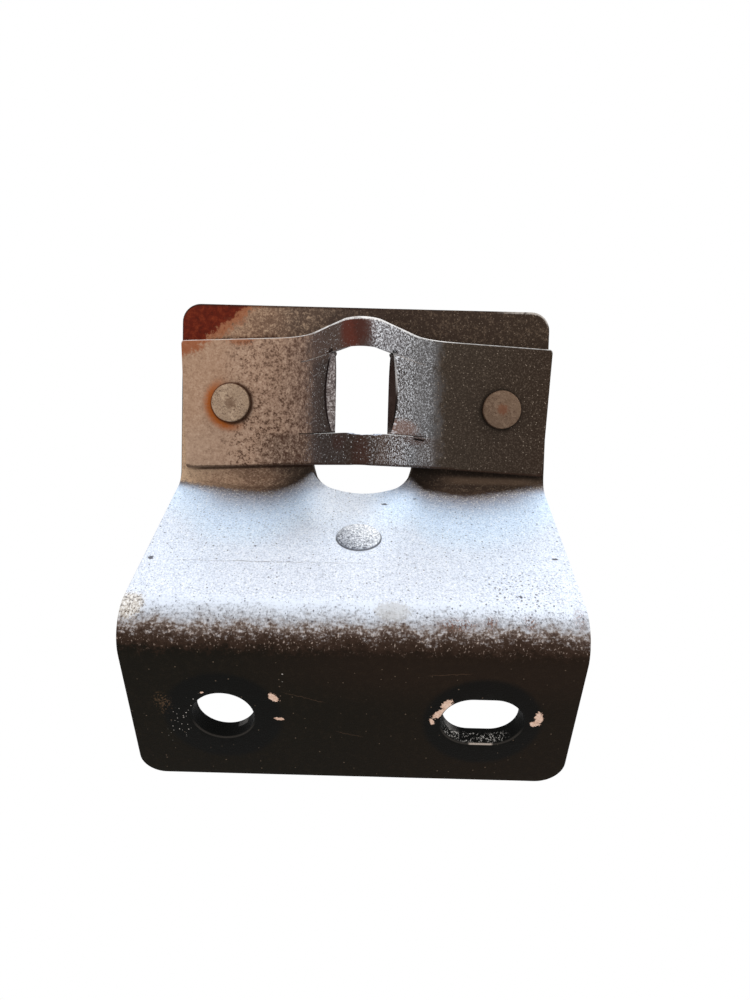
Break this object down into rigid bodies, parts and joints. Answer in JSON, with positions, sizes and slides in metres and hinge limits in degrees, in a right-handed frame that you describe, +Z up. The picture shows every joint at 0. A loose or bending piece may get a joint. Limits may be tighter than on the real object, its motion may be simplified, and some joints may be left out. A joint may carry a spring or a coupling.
{
  "type": "stamped metal bracket",
  "caption": "Folded sheet-steel bracket with a riveted strap whose bulge, with a window through it, stands off a leaning flange; a round hole and a slot fix it.",
  "frame": {"origin": "midway between the two fixing holes, on the back face of the front flange, which bears on the host", "axes": "+X along the folds, to the right seen from the front, +Y square out of the back of the front flange, towards the leaning flange, +Z up"},
  "size_m": [0.0605, 0.0512, 0.0576],
  "materials": {
    "bracket_paint": "old dark brown paint with chips and rust, worn to bright bluish metal along the shelf",
    "strap_paint": "old dark brown paint, worn and dusty beige on the left, speckled bare metal on the bulge",
    "rivet_paint": "painted over with the strap, with rust round the rim"
  },
  "bodies": {
    "root": {"bracket": "bracket_paint", "strap": "strap_paint", "left_rivet": "rivet_paint", "right_rivet": "rivet_paint"}
  },
  "joints": []
}
